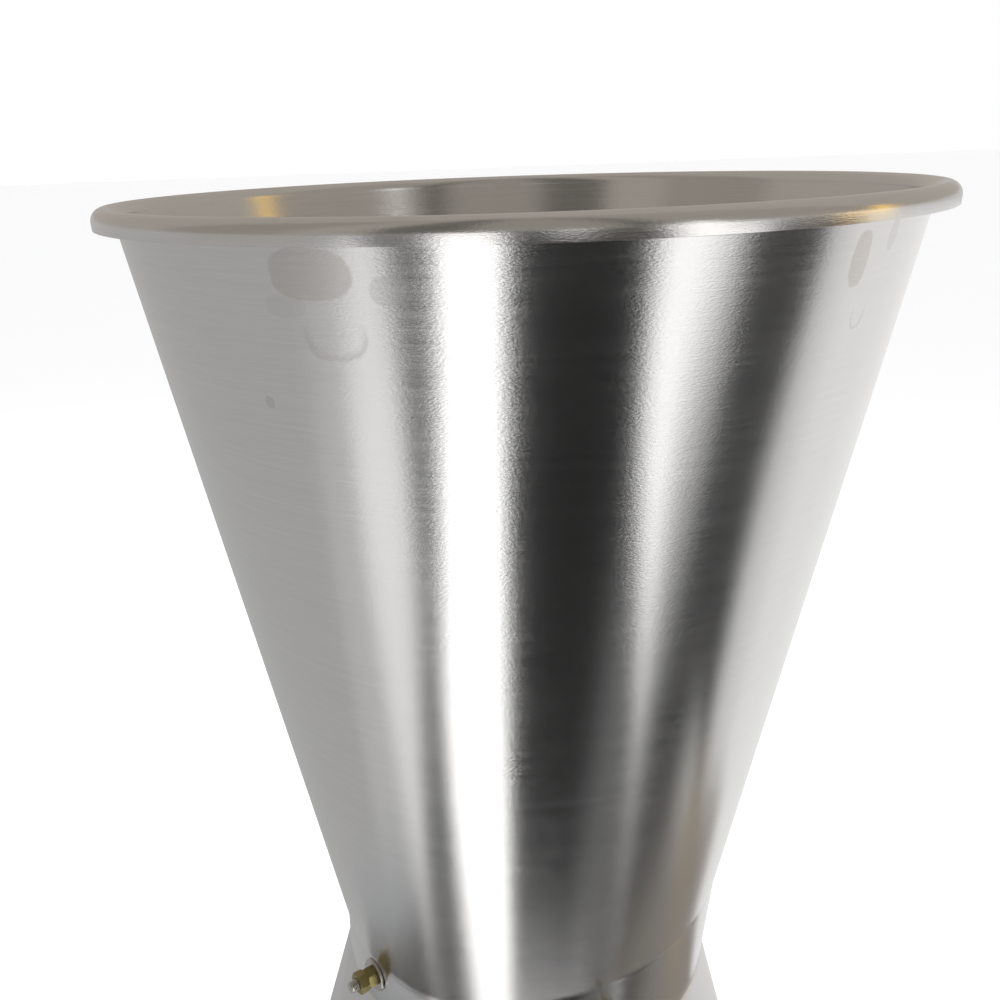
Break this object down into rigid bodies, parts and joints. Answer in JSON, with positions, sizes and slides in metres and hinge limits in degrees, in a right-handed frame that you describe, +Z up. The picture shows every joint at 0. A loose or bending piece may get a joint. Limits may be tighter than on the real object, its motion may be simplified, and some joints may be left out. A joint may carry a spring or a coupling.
{
  "type": "grape crusher destemmer",
  "caption": "Stainless funnel hopper with a rolled rim over a roller box, beater trough, must spout and stem chute on a tube frame with a belt-driven motor.",
  "frame": {"origin": "on the floor under the middle of the machine's bounding box", "axes": "+Z up, +X along the shafts from the belt guard to the stem chute, -Y the front"},
  "size_m": [0.86, 0.3698, 1.277],
  "materials": {
    "stainless": "satin brushed",
    "stainless_frame": "satin brushed tube",
    "guard_paint": "powder coated grey",
    "motor_paint": "satin enamel",
    "cast": "machined and painted",
    "roller_metal": "cast and turned",
    "shaft_steel": "turned",
    "gear_steel": "oiled steel",
    "fastener": "zinc plated",
    "nut_olive": "yellow passivated",
    "rubber": "matt",
    "belt_rubber": "matt",
    "food_rubber": "matt white",
    "plastic_black": "fine grain",
    "plastic_grey": "fine grain",
    "plastic_green": "gloss",
    "plastic_red": "gloss",
    "winding": "laminated"
  },
  "bodies": {
    "machine": {"bearing_bridge": "stainless", "bearing_screws": "fastener", "beater_bearings": "cast", "belt_guard": "guard_paint", "cable_glands": "plastic_black", "cross_rails": "stainless_frame", "deck": "stainless", "drive_belt": "belt_rubber", "end_walls": "stainless", "fan_cover": "plastic_black", "flange_nuts": "fastener", "flange_screws": "fastener", "frame_posts": "stainless_frame", "gear_cover": "stainless", "hinge_ears": "stainless", "hinge_pins": "shaft_steel", "hood": "stainless", "hood_gasket": "food_rubber", "hopper": "stainless", "lower_rails": "stainless_frame", "motor_bolts": "fastener", "motor_end_shields": "motor_paint", "motor_housing": "motor_paint", "motor_plate": "stainless_frame", "motor_stator": "winding", "must_pan": "stainless", "neck_bolts": "fastener", "neck_nuts": "nut_olive", "neck_washers": "fastener", "roller_bearings": "cast", "roller_belt": "belt_rubber", "roller_box": "stainless", "rubber_feet": "rubber", "screen": "stainless", "stem_chute": "stainless", "switch_box": "plastic_grey", "terminal_box": "plastic_black", "top_rails": "stainless_frame", "trough_walls": "stainless"},
    "beater": {"beater_shaft": "shaft_steel", "beater_rods": "shaft_steel", "beater_paddles": "food_rubber", "beater_pulley": "cast", "small_pulley": "cast"},
    "motor_drive": {"motor_shaft": "shaft_steel", "motor_rotor": "winding", "motor_fan": "plastic_black", "motor_pulley": "cast"},
    "roller_front_unit": {"roller_front": "roller_metal", "roller_shaft_front": "shaft_steel", "roller_gear_front": "gear_steel", "roller_pulley": "cast"},
    "roller_rear_unit": {"roller_rear": "roller_metal", "roller_shaft_rear": "shaft_steel", "roller_gear_rear": "gear_steel"},
    "lid_unit": {"lid": "stainless", "lid_handle": "stainless", "hinge_knuckles": "stainless"},
    "start_unit": {"start_button": "plastic_green"},
    "stop_unit": {"stop_button": "plastic_red"}
  },
  "joints": [
    {"name": "beater_spin", "type": "hinge", "parent": "machine", "child": "beater", "pos_m": [0, 0, 0.475], "axis": [1, 0, 0], "continuous": true},
    {"name": "motor_spin", "type": "hinge", "parent": "machine", "child": "motor_drive", "pos_m": [0, 0, 0.186], "axis": [1, 0, 0], "continuous": true},
    {"name": "roller_front_spin", "type": "hinge", "parent": "machine", "child": "roller_front_unit", "pos_m": [0, -0.0465, 0.634], "axis": [1, 0, 0], "continuous": true},
    {"name": "roller_rear_spin", "type": "hinge", "parent": "machine", "child": "roller_rear_unit", "pos_m": [0, 0.0465, 0.634], "axis": [1, 0, 0], "continuous": true},
    {"name": "lid_hinge", "type": "hinge", "parent": "machine", "child": "lid_unit", "pos_m": [0.16, 0.088, 0.5995], "axis": [-1, 0, 0], "range_deg": [0, 110]},
    {"name": "start_press", "type": "slide", "parent": "machine", "child": "start_unit", "axis": [0, 1, 0], "range_m": [0, 0.003], "stiffness_N_per_m": 400, "springref_m": -0.002},
    {"name": "stop_press", "type": "slide", "parent": "machine", "child": "stop_unit", "axis": [0, 1, 0], "range_m": [0, 0.003], "stiffness_N_per_m": 400, "springref_m": -0.002}
  ],
  "couplings": [
    {"joint": "motor_spin", "follows": "beater_spin", "ratio": 3.4286},
    {"joint": "roller_front_spin", "follows": "beater_spin", "ratio": 0.43077},
    {"joint": "roller_rear_spin", "follows": "beater_spin", "ratio": -0.43077}
  ]
}
